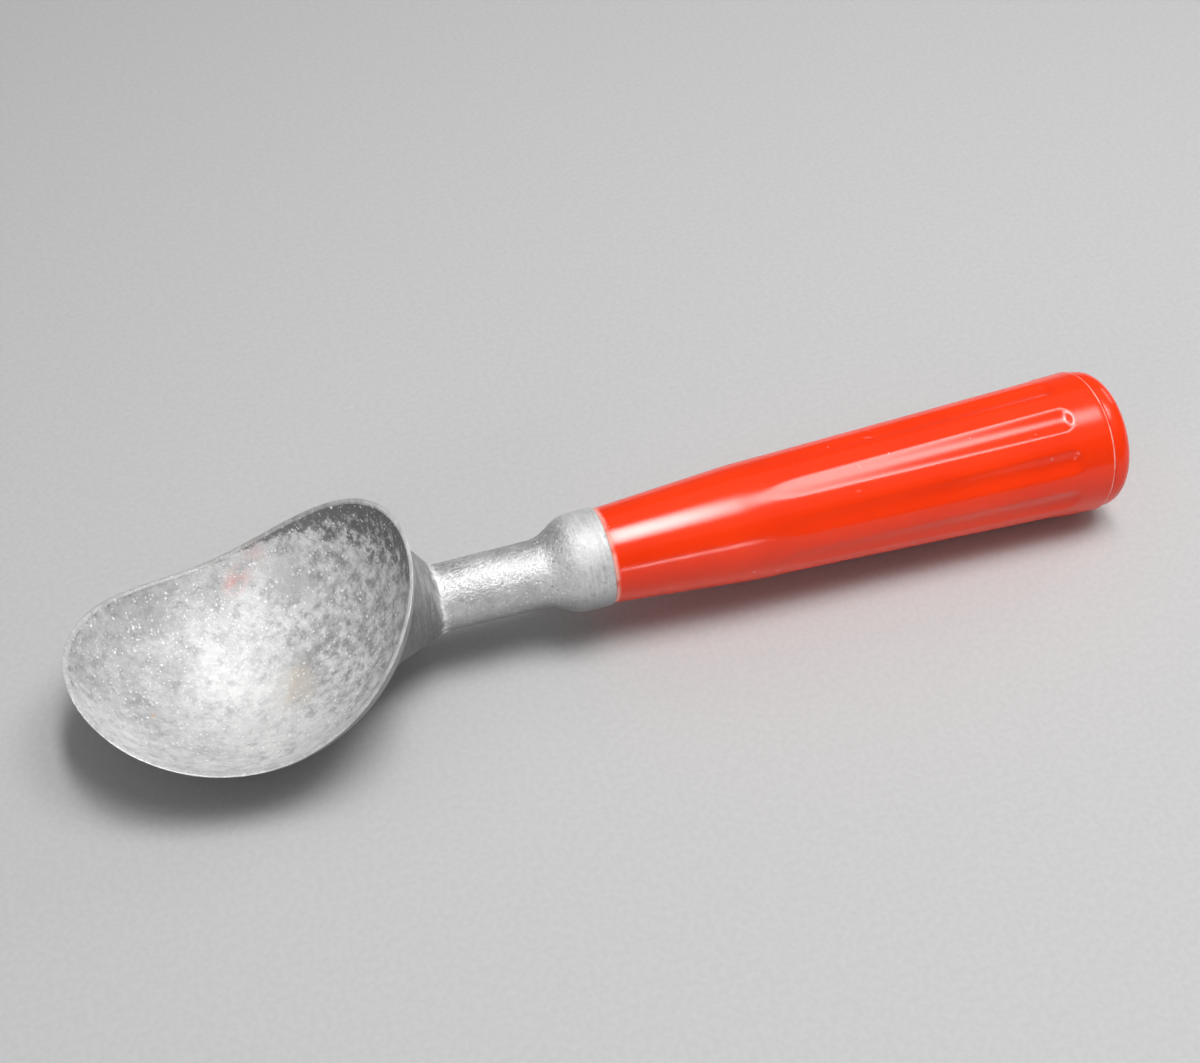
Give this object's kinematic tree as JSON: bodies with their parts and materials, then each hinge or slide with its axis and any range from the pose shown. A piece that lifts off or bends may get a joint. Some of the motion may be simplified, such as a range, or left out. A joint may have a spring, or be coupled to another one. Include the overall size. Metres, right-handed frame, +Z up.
{
  "type": "ice cream scoop",
  "caption": "Rigid ice cream scoop: round cast metal bowl with a high back wall on a straight shank and collar, and a tapered, fluted, glossy red handle with an end cap.",
  "frame": {"origin": "on the table, below the middle of the scoop's overall box", "axes": "+Z up with the scoop lying as in the picture, +X from the bowl's nose towards the handle's end, +Y across the bowl"},
  "size_m": [0.201, 0.0534, 0.0334],
  "materials": {
    "cast_aluminium": "cast, satin and slightly pitted, worn brighter on the rim and on the bowl's floor",
    "red_plastic": "glossy moulded plastic with fine scratches",
    "steel": "plain bright steel"
  },
  "bodies": {
    "root": {"scoop_head": "cast_aluminium", "handle": "red_plastic", "end_cap": "red_plastic", "tang_washer": "steel", "tang_nut": "steel"}
  },
  "joints": []
}
